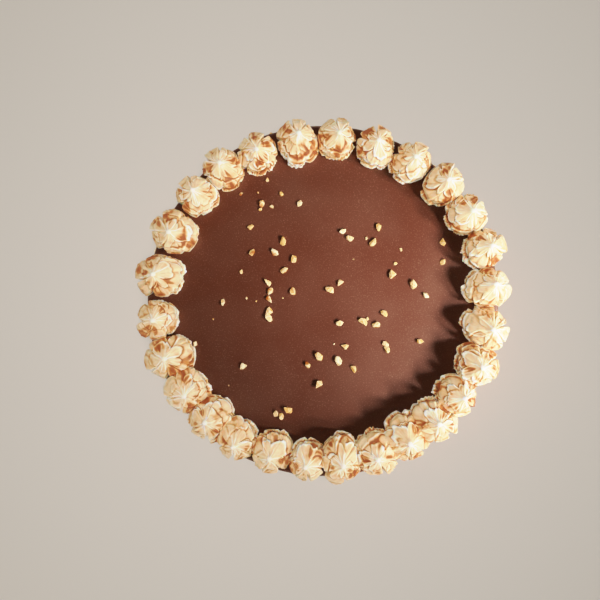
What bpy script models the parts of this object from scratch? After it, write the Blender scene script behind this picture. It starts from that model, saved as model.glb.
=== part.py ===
"""A chocolate torte, 26 cm across, with a ring of piped cream rosettes and chopped nuts.

The cake is one solid: a chocolate-coated round with nut pieces fused to its top and side.
Each rosette is a solid of its own that stands on the cake's top. The torte rests on its flat
underside, with the origin at the middle of that face and +Z up.
"""

import math
import random

import bmesh
import bpy
from mathutils import Euler, Matrix, Vector

MM = 0.001
TOUCHING_GAP = 0.3 * MM

CAKE_RADIUS = 127 * MM
CAKE_HEIGHT = 45 * MM
TOP_EDGE_RADIUS = 3 * MM
FOOT_EDGE_RADIUS = 1.5 * MM
EDGE_STEPS = 3
CAKE_SIDES = 72

# Bearings of the rosettes' centres round the cake, clockwise from the one at the top of the view.
ROSETTE_BEARINGS = (
    85.0, 71.1, 57.5, 44.2, 31.2, 18.1, 4.8, -9.4, -22.7,
    -35.2, -47.0, -58.4, -71.1, -83.5, -95.7, -108.9, -121.7, -134.1,
    -146.6, -159.9, -173.8, -188.5, -204.2, -219.9, -232.8, -245.9, -260.9,
)
RING_RADIUS = 115.9 * MM
RING_OVALITY = 0.012
RING_OFF_CENTRE = 1.3 * MM
RING_DRIFT = 2 * MM
RING_SEED = 67000

LOBES = 6
COLUMNS_PER_LOBE = 4
ROSETTE_ROWS = 7
# The side of a lobe from the tip down to the foot: radius, height and groove depth as a share.
LOBE_PROFILE = (
    (3.3 * MM, 17.6 * MM, 0.22),
    (8.6 * MM, 13.9 * MM, 0.27),
    (13.2 * MM, 9.8 * MM, 0.31),
    (15.3 * MM, 5.4 * MM, 0.32),
    (14.8 * MM, 1.6 * MM, 0.3),
    (12.6 * MM, 0.0, 0.26),
)
ROSETTE_HEIGHT = 20.5 * MM
# How much longer a rosette is towards the cake's edge than along it.
ROSETTE_STRETCH = 1.08
GROOVE_SHOULDER = math.radians(9)
SHOULDER_REACH = 0.95
ROSETTE_SIZES = (0.97, 1.04)
# How much smaller the rosettes are at the top of the view than half way down it.
SMALLER_AT_TOP = 0.045
TWISTS = (math.radians(2), math.radians(16))
# The lobes stand straight up to this height and turn above it.
TWIST_START = 6 * MM
LEANS_OUTWARDS = (-1.6 * MM, 0.6 * MM)
LEANS_SIDEWAYS = (-1.4 * MM, 1.4 * MM)
LOBE_REACHES = (0.9, 1.08)
GROOVE_DRIFTS = (math.radians(-8), math.radians(8))
GROOVE_SHARES = (0.95, 1.5)
# How much of a groove is filled by cream that slumped towards the middle of the cake.
INNER_FILL = 0.65
CONTACT_LEAN = math.tan(math.radians(20))
CONTACT_HEIGHT = 6 * MM
ROSETTE_SEED = 7

# Nuts on the top, large, usual and small: their lengths, and rows of them. A row gives how far up
# the view it lies, and where its nuts are across it, in millimetres from the middle.
TOP_NUTS = (
    (
        (6.0 * MM, 7.2 * MM),
        {
            43: (-29,), 42: (36,), 35: (-35,), 19: (50,), 12: (65,), 8: (5,), -8: (-39,),
            -12: (-39,), -15: (29,), -40: (-3,), -43: (11,), -60: (-3,), -78: (-25,),
        },
    ),
    (
        (4.8 * MM, 5.8 * MM),
        {
            70: (-44, -17), 53: (-52, 40), 50: (14,), 45: (19,), 42: (86,), 35: (-51,),
            30: (-21,), 28: (86,), 22: (-28,), 13: (-40, 12), 7: (-38, -22), 4: (74,),
            1: (-39,), -1: (-72,), -9: (44,), -16: (12,), -17: (38,), -29: (70,), -31: (45,),
            -33: (16,), -35: (46,), -46: (-11,), -47: (-58,), -49: (22,), -81: (-34,),
            -83: (-30,),
        },
    ),
    (
        (2.4 * MM, 3.8 * MM),
        {
            87: (-40,), 77: (-59, -30), 68: (-37,), 66: (-45,), 45: (31,), 37: (56,),
            27: (52,), 21: (-59,), -13: (32,),
        },
    ),
)

SIDE_NUTS_STREWN = 720
SIDE_NUTS_MODELLED = 86
SIDE_NUT_LENGTHS = (2.2 * MM, 5.6 * MM)
USUAL_SIDE_NUT = 3.5 * MM
SIDE_NUT_BAND = (4 * MM, 41.5 * MM)
SIDE_NUT_SPACING = 1.6
BARE_SIDE_SHARE = 0.45
NUT_WIDTH_SHARE = 0.72
NUT_THICKNESS_SHARE = 0.4
NUT_SUNK_SHARE = 0.2
NUT_TILT = 0.2
NUT_CHIPPING = (0.86, 1.12)
NUT_CUT_ENDS = (0.22, 0.4)
NUT_SEED = 41

CHOCOLATE = ((0.112, 0.034, 0.015, 1.0), 0.42)
CREAM = ((0.83, 0.73, 0.55, 1.0), 0.5)


def clear_scene():
    for obj in list(bpy.data.objects):
        bpy.data.objects.remove(obj)


def finish_material(name, colour, roughness):
    material = bpy.data.materials.new(name)
    material.use_nodes = True
    shader = material.node_tree.nodes["Principled BSDF"]
    shader.inputs["Base Color"].default_value = colour
    shader.inputs["Roughness"].default_value = roughness
    shader.inputs["Metallic"].default_value = 0.0
    return material


def new_object(name, bm, material, collection):
    """A mesh object holding bm, linked to the collection."""
    mesh = bpy.data.meshes.new(name)
    bm.to_mesh(mesh)
    bm.free()
    mesh.materials.append(material)
    obj = bpy.data.objects.new(name, mesh)
    collection.objects.link(obj)
    return obj


def quarter_round(centre_radius, centre_height, radius, start):
    """Profile points along a quarter circle in the XZ plane, from angle start upwards."""
    angles = [start + step * math.pi / 2 / EDGE_STEPS for step in range(EDGE_STEPS + 1)]
    return [
        Vector((centre_radius + radius * math.cos(a), 0, centre_height + radius * math.sin(a)))
        for a in angles
    ]


def cake_round(material):
    """The coated cake: a profile with rounded edges, spun about the Z axis."""
    foot = quarter_round(
        CAKE_RADIUS - FOOT_EDGE_RADIUS, FOOT_EDGE_RADIUS, FOOT_EDGE_RADIUS, -math.pi / 2
    )
    top = quarter_round(
        CAKE_RADIUS - TOP_EDGE_RADIUS, CAKE_HEIGHT - TOP_EDGE_RADIUS, TOP_EDGE_RADIUS, 0.0
    )
    profile = [Vector((0, 0, 0)), *foot, *top, Vector((0, 0, CAKE_HEIGHT))]
    bm = bmesh.new()
    points = [bm.verts.new(point) for point in profile]
    edges = [bm.edges.new(pair) for pair in zip(points, points[1:])]
    bmesh.ops.spin(
        bm,
        geom=points + edges,
        cent=(0, 0, 0),
        axis=(0, 0, 1),
        angle=math.tau,
        steps=CAKE_SIDES,
        use_merge=True,
    )
    bmesh.ops.remove_doubles(bm, verts=bm.verts, dist=0.01 * MM)
    bmesh.ops.recalc_face_normals(bm, faces=bm.faces)
    return new_object("cake", bm, material, bpy.context.scene.collection)


def nut_piece(length, surface, dice, material, collection):
    """One chopped nut: a faceted chip with a cut end, bedded in the surface that it lies on."""
    turn = dice.uniform(0, math.tau)
    tilt = Euler((dice.uniform(-NUT_TILT, NUT_TILT), dice.uniform(-NUT_TILT, NUT_TILT), turn))
    cut_end = dice.uniform(*NUT_CUT_ENDS)
    bm = bmesh.new()
    bmesh.ops.create_icosphere(bm, subdivisions=1, radius=0.5)
    for vertex in bm.verts:
        vertex.co *= dice.uniform(*NUT_CHIPPING)
        vertex.co.x = min(vertex.co.x, cut_end)
    size = Vector((length, length * NUT_WIDTH_SHARE, length * NUT_THICKNESS_SHARE))
    bmesh.ops.scale(bm, vec=size, verts=bm.verts)
    rise = Matrix.Translation((0, 0, length * NUT_THICKNESS_SHARE * (0.5 - NUT_SUNK_SHARE)))
    bm.transform(surface @ rise @ tilt.to_matrix().to_4x4())
    return new_object("nut", bm, material, collection)


def top_nuts():
    """Length and resting place of each nut on the top."""
    dice = random.Random(NUT_SEED)
    for lengths, rows in TOP_NUTS:
        for up, across in rows.items():
            for right in across:
                place = Matrix.Translation((right * MM, up * MM, CAKE_HEIGHT))
                yield dice.uniform(*lengths), place


def side_nuts():
    """Length and resting place of the largest nuts on the side, which lie thickest at -X."""
    dice = random.Random(NUT_SEED + 1)
    strewn = []
    while len(strewn) < SIDE_NUTS_STREWN:
        bearing = dice.uniform(0, math.tau)
        height = dice.uniform(*SIDE_NUT_BAND)
        length = dice.triangular(*SIDE_NUT_LENGTHS, USUAL_SIDE_NUT)
        cover = 1 - BARE_SIDE_SHARE * (1 + math.cos(bearing)) / 2
        if dice.random() < cover:
            strewn.append((length, bearing, height))
    chosen = []
    for nut in sorted(strewn, reverse=True):
        if len(chosen) < SIDE_NUTS_MODELLED and is_clear(nut, chosen):
            chosen.append(nut)
    for length, bearing, height in chosen:
        outwards = Matrix.Translation((CAKE_RADIUS, 0, height)) @ Matrix.Rotation(
            math.pi / 2, 4, "Y"
        )
        yield length, Matrix.Rotation(bearing, 4, "Z") @ outwards


def is_clear(nut, others):
    """True if a nut on the side keeps its distance from the others."""
    length, bearing, height = nut
    for _, other_bearing, other_height in others:
        turn = abs((bearing - other_bearing + math.pi) % math.tau - math.pi)
        apart = math.hypot(turn * CAKE_RADIUS, height - other_height)
        if apart < SIDE_NUT_SPACING * length:
            return False
    return True


def strew_nuts(cake, material):
    """Fuses the nuts to the cake with one Boolean union."""
    nuts = bpy.data.collections.new("nuts")
    bpy.context.scene.collection.children.link(nuts)
    for number, (length, surface) in enumerate([*top_nuts(), *side_nuts()]):
        nut_piece(length, surface, random.Random(NUT_SEED * 1000 + number), material, nuts)

    union = cake.modifiers.new("nuts", "BOOLEAN")
    union.operation = "UNION"
    union.operand_type = "COLLECTION"
    union.collection = nuts
    union.solver = "EXACT"
    bpy.context.view_layer.update()
    graph = bpy.context.evaluated_depsgraph_get()
    fused = bpy.data.meshes.new_from_object(cake.evaluated_get(graph))
    cake.modifiers.clear()
    cake.data = fused
    for piece in list(nuts.objects):
        bpy.data.objects.remove(piece)
    bpy.data.collections.remove(nuts)


def ring_stands():
    """Where each rosette's foot is centred: a slightly oval ring, set a little off centre."""
    dice = random.Random(RING_SEED)
    stands = []
    for degrees in ROSETTE_BEARINGS:
        bearing = math.radians(degrees)
        away = RING_RADIUS * (1 + RING_OVALITY * math.cos(2 * bearing))
        away += RING_OFF_CENTRE * math.sin(bearing) + RING_DRIFT * dice.uniform(-1, 1)
        stands.append(Vector((away * math.cos(bearing), away * math.sin(bearing))))
    return stands


class Rosette:
    """One rosette: where it stands, what it is pressed against and how its lobes are shaped."""

    def __init__(self, index, stands):
        dice = random.Random(ROSETTE_SEED * 1000 + index)
        self.name = f"rosette_{index + 1:02d}"
        self.stand = stands[index]
        self.bearing = math.radians(ROSETTE_BEARINGS[index])
        # The rosette before lies over this one, and this one lies over the one after it.
        self.contacts = [
            self.contact(stands[index - 1], -CONTACT_LEAN),
            self.contact(stands[(index + 1) % len(stands)], CONTACT_LEAN),
        ]
        self.size = dice.uniform(*ROSETTE_SIZES) * (1 - SMALLER_AT_TOP * math.sin(self.bearing))
        self.turn = dice.uniform(0, math.tau / LOBES)
        self.twist = dice.uniform(*TWISTS)
        self.lean = Vector((dice.uniform(*LEANS_OUTWARDS), dice.uniform(*LEANS_SIDEWAYS)))
        self.lobe_reach = [dice.uniform(*LOBE_REACHES) for _ in range(LOBES)]
        self.groove_drift = [dice.uniform(*GROOVE_DRIFTS) for _ in range(LOBES)]
        self.groove_share = [
            dice.uniform(*GROOVE_SHARES) * (1 - INNER_FILL * self.inwards(lobe))
            for lobe in range(LOBES)
        ]

    def inwards(self, lobe):
        """How far the groove before a lobe faces the middle of the cake: 1 for straight to it."""
        return (1 - math.cos(self.turn + lobe * math.tau / LOBES)) / 2

    def contact(self, neighbour, overhang):
        """The face shared with a neighbour: way to it in this frame, room and overhang."""
        apart = neighbour - self.stand
        way = Matrix.Rotation(-self.bearing, 2) @ apart.normalized()
        return way, apart.length / 2 - TOUCHING_GAP / 2, overhang

    def to_world(self):
        stand = Vector((*self.stand, CAKE_HEIGHT + TOUCHING_GAP))
        return Matrix.Translation(stand) @ Matrix.Rotation(self.bearing, 4, "Z")

    def surface_point(self, row, column):
        """A point of the surface in the rosette's own frame, +X away from the cake's centre."""
        radius, height, groove = LOBE_PROFILE[row]
        lobe, step = divmod(column, COLUMNS_PER_LOBE)
        lobe_angle = math.tau / LOBES
        ends = self.groove_drift[lobe], self.groove_drift[(lobe + 1) % LOBES]
        shoulder_after = GROOVE_SHOULDER + ends[0]
        shoulder_before = lobe_angle - GROOVE_SHOULDER + ends[1]
        middle = (shoulder_after + shoulder_before) / 2
        within = (ends[0], shoulder_after, middle, shoulder_before)[step]
        cut = groove * self.groove_share[lobe]
        share = (1 - cut, SHOULDER_REACH, 1.0, SHOULDER_REACH)[step]
        rise = height / ROSETTE_HEIGHT
        turned = max(0.0, height - TWIST_START) / (ROSETTE_HEIGHT - TWIST_START)
        angle = self.turn + lobe * lobe_angle + within + self.twist * turned
        along = Vector((ROSETTE_STRETCH * math.cos(angle), math.sin(angle)))
        axis = self.lean * rise**2
        reach = radius * share * self.size * self.lobe_reach[lobe]
        for way, room, overhang in self.contacts:
            towards = along.dot(way)
            if towards > 0:
                room += overhang * (height - CONTACT_HEIGHT) - axis.dot(way)
                reach = min(reach, room / towards)
        return Vector((*(axis + along * reach), height))

    def tip(self):
        return Vector((*self.lean, ROSETTE_HEIGHT * self.size))


def piped_rosette(rosette, material):
    """A six-lobed dollop of cream, pressed flat where it meets its neighbours."""
    columns = LOBES * COLUMNS_PER_LOBE
    bm = bmesh.new()
    bmesh.ops.create_uvsphere(bm, u_segments=columns, v_segments=ROSETTE_ROWS, radius=1)
    for vertex in bm.verts:
        row = round(math.acos(max(-1.0, min(1.0, vertex.co.z))) / math.pi * ROSETTE_ROWS)
        column = round(math.atan2(vertex.co.y, vertex.co.x) / math.tau * columns) % columns
        if row == 0:
            vertex.co = rosette.tip()
        elif row == ROSETTE_ROWS:
            vertex.co = Vector((0, 0, 0))
        else:
            vertex.co = rosette.surface_point(row - 1, column)
    bmesh.ops.triangulate(bm, faces=bm.faces, quad_method="SHORT_EDGE")
    bmesh.ops.recalc_face_normals(bm, faces=bm.faces)
    bm.transform(rosette.to_world())
    return new_object(rosette.name, bm, material, bpy.context.scene.collection)


def build_torte():
    clear_scene()
    chocolate = finish_material("chocolate", *CHOCOLATE)
    cream = finish_material("cream", *CREAM)
    cake = cake_round(chocolate)
    strew_nuts(cake, chocolate)
    stands = ring_stands()
    for index in range(len(stands)):
        piped_rosette(Rosette(index, stands), cream)


build_torte()
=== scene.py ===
"""Dresses a chocolate torte: satin glaze, piped two-tone cream rosettes and chopped nuts.

Sizes are in metres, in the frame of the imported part: the origin is the middle of the cake's
underside, +Z is up and the photo looks straight down with +Y at its top.
"""

from __future__ import annotations

import enum
import logging
import math
import random
from collections.abc import Iterator
from dataclasses import dataclass, field

import bmesh
import bpy
import numpy as np
from mathutils import Euler, Matrix, Vector

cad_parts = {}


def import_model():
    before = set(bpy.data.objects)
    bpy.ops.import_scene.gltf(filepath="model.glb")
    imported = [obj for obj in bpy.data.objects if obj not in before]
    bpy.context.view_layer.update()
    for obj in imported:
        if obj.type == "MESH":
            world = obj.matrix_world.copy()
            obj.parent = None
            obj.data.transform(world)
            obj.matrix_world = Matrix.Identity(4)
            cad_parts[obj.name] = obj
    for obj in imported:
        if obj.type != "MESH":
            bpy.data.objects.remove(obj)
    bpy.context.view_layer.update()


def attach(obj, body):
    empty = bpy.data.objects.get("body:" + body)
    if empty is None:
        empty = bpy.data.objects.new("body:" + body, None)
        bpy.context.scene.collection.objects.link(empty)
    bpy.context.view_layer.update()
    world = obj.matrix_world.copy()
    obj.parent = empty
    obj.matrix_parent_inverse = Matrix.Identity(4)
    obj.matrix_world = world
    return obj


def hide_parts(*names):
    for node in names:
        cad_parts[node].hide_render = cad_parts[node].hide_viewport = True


LOG = logging.getLogger("torte")
MM = 0.001

CAKE_NODE = "cake"
BODY = "root"
FLOW_MAP = "flow"
# Tone of the cream at each vertex: caramel marbling, with painted shade in creases and grooves and
# painted highlights along edges, rims and the tip.
CARAMEL_SHADE_AND_HIGHLIGHT = "caramel"
TONE = "tone"
SKIN = "skin"


def linear(hex_code: str) -> tuple[float, float, float, float]:
    """Turns an sRGB hex colour into the linear colour that shaders take.

    Args:
        hex_code: Six hex digits, with or without a leading hash.

    Returns:
        Linear red, green and blue with an alpha of 1.
    """
    digits = hex_code.lstrip("#")
    channels = [int(digits[start : start + 2], 16) / 255 for start in (0, 2, 4)]
    return (*[c / 12.92 if c <= 0.04045 else ((c + 0.055) / 1.055) ** 2.4 for c in channels], 1.0)


def add_node(
    tree: bpy.types.NodeTree,
    kind: str,
    inputs: dict | None = None,
    stops: list[tuple[float, str]] | None = None,
    **settings: object,
) -> bpy.types.Node:
    """Adds a shader node with its settings and links.

    Args:
        tree: Node tree that takes the node.
        kind: Blender's type name of the node.
        inputs: Value, or output socket to link from, for each input by name or number.
        stops: Place and sRGB hex colour of each stop, for a node with a colour ramp.
        **settings: Properties of the node itself.

    Returns:
        The new node.
    """
    node = tree.nodes.new(kind)
    for name, value in settings.items():
        setattr(node, name, value)
    for key, value in (inputs or {}).items():
        if isinstance(value, bpy.types.NodeSocket):
            tree.links.new(value, node.inputs[key])
        else:
            node.inputs[key].default_value = value
    if stops:
        ramp = node.color_ramp
        while len(ramp.elements) < len(stops):
            ramp.elements.new(0.5)
        for element, (place, colour) in zip(ramp.elements, stops):
            element.position = place
            element.color = linear(colour)
    return node


def start_material(name: str) -> tuple[bpy.types.Material, bpy.types.NodeTree, bpy.types.Node]:
    """Makes an empty material with its output node.

    Args:
        name: Name of the material.

    Returns:
        The material, its node tree and its output node.
    """
    material = bpy.data.materials.new(name)
    material.use_nodes = True
    tree = material.node_tree
    tree.nodes.clear()
    return material, tree, add_node(tree, "ShaderNodeOutputMaterial")


def finish_piece(
    mesh: bpy.types.Mesh, material: bpy.types.Material, slot: str, *nodes: str
) -> bpy.types.Object:
    """Makes a piece of a mesh, dresses it and joins it to the frame.

    Args:
        mesh: The piece's mesh, in its place, which gives the piece its name.
        material: Its finish.
        slot: Name of a material slot for the finish; not used.
        *nodes: Nodes of the frame that the piece stands for.

    Returns:
        The finished piece.
    """
    mesh.materials.append(material)
    obj = bpy.data.objects.new(mesh.name, mesh)
    bpy.context.scene.collection.objects.link(obj)
    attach(obj, BODY)
    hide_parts(*nodes)
    LOG.info("%s: %d faces", obj.name, len(mesh.polygons))
    return obj


def make_mesh(name: str, bm: bmesh.types.BMesh) -> bpy.types.Mesh:
    """Turns finished geometry into a mesh.

    Args:
        name: Name of the mesh.
        bm: The geometry, which is freed.

    Returns:
        The mesh.
    """
    mesh = bpy.data.meshes.new(name)
    bm.to_mesh(mesh)
    bm.free()
    return mesh


def vertex_places(mesh: bpy.types.Mesh) -> np.ndarray:
    """Reads where the vertices of a mesh are.

    Args:
        mesh: The mesh.

    Returns:
        One row a vertex.
    """
    places = np.empty(len(mesh.vertices) * 3, np.float32)
    mesh.vertices.foreach_get("co", places)
    return places.reshape(-1, 3).astype(float)


def mark(mesh: bpy.types.Mesh, name: str, values: np.ndarray) -> None:
    """Stores a number at each vertex, under a name that a finish reads."""
    attribute = mesh.attributes.new(name, "FLOAT", "POINT")
    attribute.data.foreach_set("value", values.astype(np.float32))


def smooth_step(low: float, high: float, values: np.ndarray) -> np.ndarray:
    """Rises from 0 at low to 1 at high with a smooth start and end."""
    share = np.clip((values - low) / (high - low), 0, 1)
    return share * share * (3 - 2 * share)


def between(levels: tuple[float, ...], values: np.ndarray) -> np.ndarray:
    """Rises from 0 to 1 between the first two levels and falls back between the last two."""
    return smooth_step(*levels[:2], values) * (1 - smooth_step(*levels[2:], values))


def ridge(values: np.ndarray, width: float) -> np.ndarray:
    """Peaks at 1 where the values pass 0 and fades out over the width."""
    return np.exp(-((values / width) ** 2))


def inwards_share(angle: np.ndarray) -> np.ndarray:
    """Gives 1 for a bearing that faces the middle of the cake and 0 for one that faces away."""
    return (1 - np.cos(angle)) / 2


@dataclass(frozen=True)
class Waves:
    """An uneven pattern: a number of waves, whose wave numbers lie between low and high.

    The pitch is the height that counts as one unit upwards.
    """

    count: int
    low: float
    high: float
    pitch: float = 1.0

    def lay(self, dice: random.Random, across: np.ndarray, up: np.ndarray) -> np.ndarray:
        """Draws the waves and adds them up over two coordinates.

        Args:
            dice: Seeded source of draws.
            across: Place across the surface.
            up: Place up the surface.

        Returns:
            The pattern at each place, with a spread of about 1.
        """
        total = np.zeros(len(across))
        for _ in range(self.count):
            bearing = dice.uniform(0, math.tau)
            pace = dice.uniform(self.low, self.high)
            phase = dice.uniform(0, math.tau)
            level = math.sin(bearing) * up / self.pitch
            total += np.sin(pace * (math.cos(bearing) * across + level) + phase)
        return total / math.sqrt(self.count / 2)


@dataclass(frozen=True)
class WhippedCream:
    """Whipped cream, piped in two colours: it is matte, soft-edged and lets some light in.

    White cream and caramel cream leave the nozzle side by side, so the caramel runs in streaks
    from foot to tip. The same tone also carries painted shade, darker in creases and grooves,
    and painted highlights, white along lobe edges, rims and the tip.
    """

    # The tip colour is white cream and also the painted highlight on edges and rims; the darkest
    # stop is deep caramel and also the painted shade in creases.
    tip: str = "FFF9EC"
    cream: str = "F7E4BE"
    beige: str = "E7BD8C"
    caramel: str = "C98652"
    deep_caramel_and_crease_shade: str = "A05C34"
    roughness: float = 0.5
    streaks_round: float = 36.0
    streaks_up: float = 3.0
    blotch: float = 5 * MM
    bubble: float = 0.7 * MM
    streak_share: float = 0.35
    blotch_share: float = 0.4
    scatter_depth: float = 0.9 * MM

    def build(self) -> bpy.types.Material:
        """Builds the marbled cream.

        Returns:
            The finished material.
        """
        material, tree, output = start_material("whipped_cream_piped")
        coat = add_node(tree, "ShaderNodeAttribute", attribute_name=CARAMEL_SHADE_AND_HIGHLIGHT)
        flow = add_node(tree, "ShaderNodeUVMap", uv_map=FLOW_MAP)
        place = add_node(tree, "ShaderNodeTexCoord")
        drawn_out = add_node(
            tree,
            "ShaderNodeMapping",
            {"Vector": flow.outputs["UV"], "Scale": (self.streaks_round, self.streaks_up, 1)},
        )
        streaks = add_node(
            tree,
            "ShaderNodeTexNoise",
            {
                "Vector": drawn_out.outputs["Vector"],
                "Scale": 1.0,
                "Detail": 3.0,
                "Roughness": 0.6,
                "Distortion": 0.9,
            },
        )
        blotches, bubbles = (
            add_node(
                tree,
                "ShaderNodeTexNoise",
                {"Vector": place.outputs["Object"], "Scale": 1 / size, "Detail": 2.0},
            )
            for size in (self.blotch, self.bubble)
        )
        tone = coat.outputs["Fac"]
        for pattern, weight in ((streaks, self.streak_share), (blotches, self.blotch_share)):
            added = add_node(
                tree,
                "ShaderNodeMath",
                {0: pattern.outputs["Fac"], 1: weight, 2: tone},
                operation="MULTIPLY_ADD",
            )
            tone = added.outputs[0]
        share = add_node(
            tree, "ShaderNodeMapRange", {"Value": tone, "From Min": 0.1, "From Max": 1.3}
        )
        # Ramp from white cream and painted highlight, through cream and caramel, to deep caramel
        # and painted crease shade.
        colour = add_node(
            tree,
            "ShaderNodeValToRGB",
            {"Fac": share.outputs[0]},
            stops=[
                (0.0, self.tip),
                (0.16, self.cream),
                (0.38, self.beige),
                (0.72, self.caramel),
                (1.0, self.deep_caramel_and_crease_shade),
            ],
        )
        drawn_relief = add_node(
            tree,
            "ShaderNodeBump",
            {"Strength": 0.2, "Distance": 0.5 * MM, "Height": streaks.outputs["Fac"]},
        )
        relief = add_node(
            tree,
            "ShaderNodeBump",
            {
                "Strength": 0.25,
                "Distance": 0.15 * MM,
                "Height": bubbles.outputs["Fac"],
                "Normal": drawn_relief.outputs["Normal"],
            },
        )
        shader = add_node(
            tree,
            "ShaderNodeBsdfPrincipled",
            {
                "Base Color": colour.outputs["Color"],
                "Roughness": self.roughness,
                "Subsurface Weight": 1.0,
                "Subsurface Radius": (1.0, 0.8, 0.6),
                "Subsurface Scale": self.scatter_depth,
                "Specular IOR Level": 0.35,
                "Normal": relief.outputs["Normal"],
            },
        )
        tree.links.new(shader.outputs["BSDF"], output.inputs["Surface"])
        return material


@dataclass(frozen=True)
class ChocolateGlaze:
    """Chocolate glaze, spread with a spatula: satin, faintly grained, with soft drag marks."""

    colour: str = "7B3F26"
    pale: str = "A27560"
    roughness: float = 0.52
    grain: float = 0.9 * MM
    drag: float = 45 * MM
    drag_share: float = 0.5
    uneven_gloss: float = 0.05

    def build(self) -> bpy.types.Material:
        """Builds the glaze.

        Returns:
            The finished material.
        """
        material, tree, output = start_material("chocolate_glaze_spread")
        place = add_node(tree, "ShaderNodeTexCoord")
        drags, grains = (
            add_node(
                tree,
                "ShaderNodeTexNoise",
                {"Vector": place.outputs["Object"], "Scale": 1 / size, "Detail": 3.0},
            )
            for size in (self.drag, self.grain)
        )
        specks = add_node(
            tree,
            "ShaderNodeMapRange",
            {"Value": grains.outputs["Fac"], "From Min": 0.55, "From Max": 0.8},
        )
        shade = add_node(
            tree,
            "ShaderNodeMath",
            {0: drags.outputs["Fac"], 1: self.drag_share, 2: specks.outputs[0]},
            operation="MULTIPLY_ADD",
        )
        colour = add_node(
            tree,
            "ShaderNodeValToRGB",
            {"Fac": shade.outputs[0]},
            stops=[(0.2, self.colour), (1.0, self.pale)],
        )
        rough = add_node(
            tree,
            "ShaderNodeMapRange",
            {
                "Value": drags.outputs["Fac"],
                "From Min": 0.3,
                "From Max": 0.7,
                "To Min": self.roughness - self.uneven_gloss,
                "To Max": self.roughness + self.uneven_gloss,
            },
        )
        relief = add_node(
            tree,
            "ShaderNodeBump",
            {"Strength": 0.5, "Distance": 0.12 * MM, "Height": grains.outputs["Fac"]},
        )
        shader = add_node(
            tree,
            "ShaderNodeBsdfPrincipled",
            {
                "Base Color": colour.outputs["Color"],
                "Roughness": rough.outputs[0],
                "Specular IOR Level": 1.0,
                "Normal": relief.outputs["Normal"],
            },
        )
        tree.links.new(shader.outputs["BSDF"], output.inputs["Surface"])
        return material


@dataclass(frozen=True)
class ChoppedNut:
    """Roasted chopped nut: dry and waxy, golden in the middle of its broad faces and pale towards
    its edges, tan where the skin is left.
    """

    pale: str = "FCEBC4"
    golden: str = "E6B163"
    skin: str = "A85F1E"
    roughness: float = 0.45
    fleck: float = 0.8 * MM
    fleck_share: float = 0.6

    def build(self) -> bpy.types.Material:
        """Builds the nut.

        Returns:
            The finished material.
        """
        material, tree, output = start_material("nut_chopped")
        tone = add_node(tree, "ShaderNodeAttribute", attribute_name=TONE)
        skin = add_node(tree, "ShaderNodeAttribute", attribute_name=SKIN)
        place = add_node(tree, "ShaderNodeTexCoord")
        flecks = add_node(
            tree,
            "ShaderNodeTexNoise",
            {"Vector": place.outputs["Object"], "Scale": 1 / self.fleck, "Detail": 3.0},
        )
        shade = add_node(
            tree,
            "ShaderNodeMath",
            {0: flecks.outputs["Fac"], 1: self.fleck_share, 2: tone.outputs["Fac"]},
            operation="MULTIPLY_ADD",
        )
        flesh = add_node(
            tree,
            "ShaderNodeValToRGB",
            {"Fac": shade.outputs[0]},
            stops=[(0.25, self.pale), (1.0, self.golden)],
        )
        colour = add_node(
            tree,
            "ShaderNodeMix",
            {0: skin.outputs["Fac"], 6: flesh.outputs["Color"], 7: linear(self.skin)},
            data_type="RGBA",
        )
        relief = add_node(
            tree,
            "ShaderNodeBump",
            {"Strength": 0.5, "Distance": 0.2 * MM, "Height": flecks.outputs["Fac"]},
        )
        shader = add_node(
            tree,
            "ShaderNodeBsdfPrincipled",
            {
                "Base Color": colour.outputs[2],
                "Roughness": self.roughness,
                "Subsurface Weight": 0.15,
                "Subsurface Radius": (1.0, 0.7, 0.35),
                "Subsurface Scale": 1.0 * MM,
                "Normal": relief.outputs["Normal"],
            },
        )
        tree.links.new(shader.outputs["BSDF"], output.inputs["Surface"])
        return material


@dataclass(frozen=True)
class StudioPaper:
    """Pale matte backdrop paper, rolled out flat."""

    colour: str = "E2DFD9"

    def build(self) -> bpy.types.Material:
        """Builds the paper.

        Returns:
            The finished material.
        """
        material, tree, output = start_material("paper_backdrop")
        shader = add_node(
            tree,
            "ShaderNodeBsdfPrincipled",
            {"Base Color": linear(self.colour), "Roughness": 0.8, "Specular IOR Level": 0.2},
        )
        tree.links.new(shader.outputs["BSDF"], output.inputs["Surface"])
        return material


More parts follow.
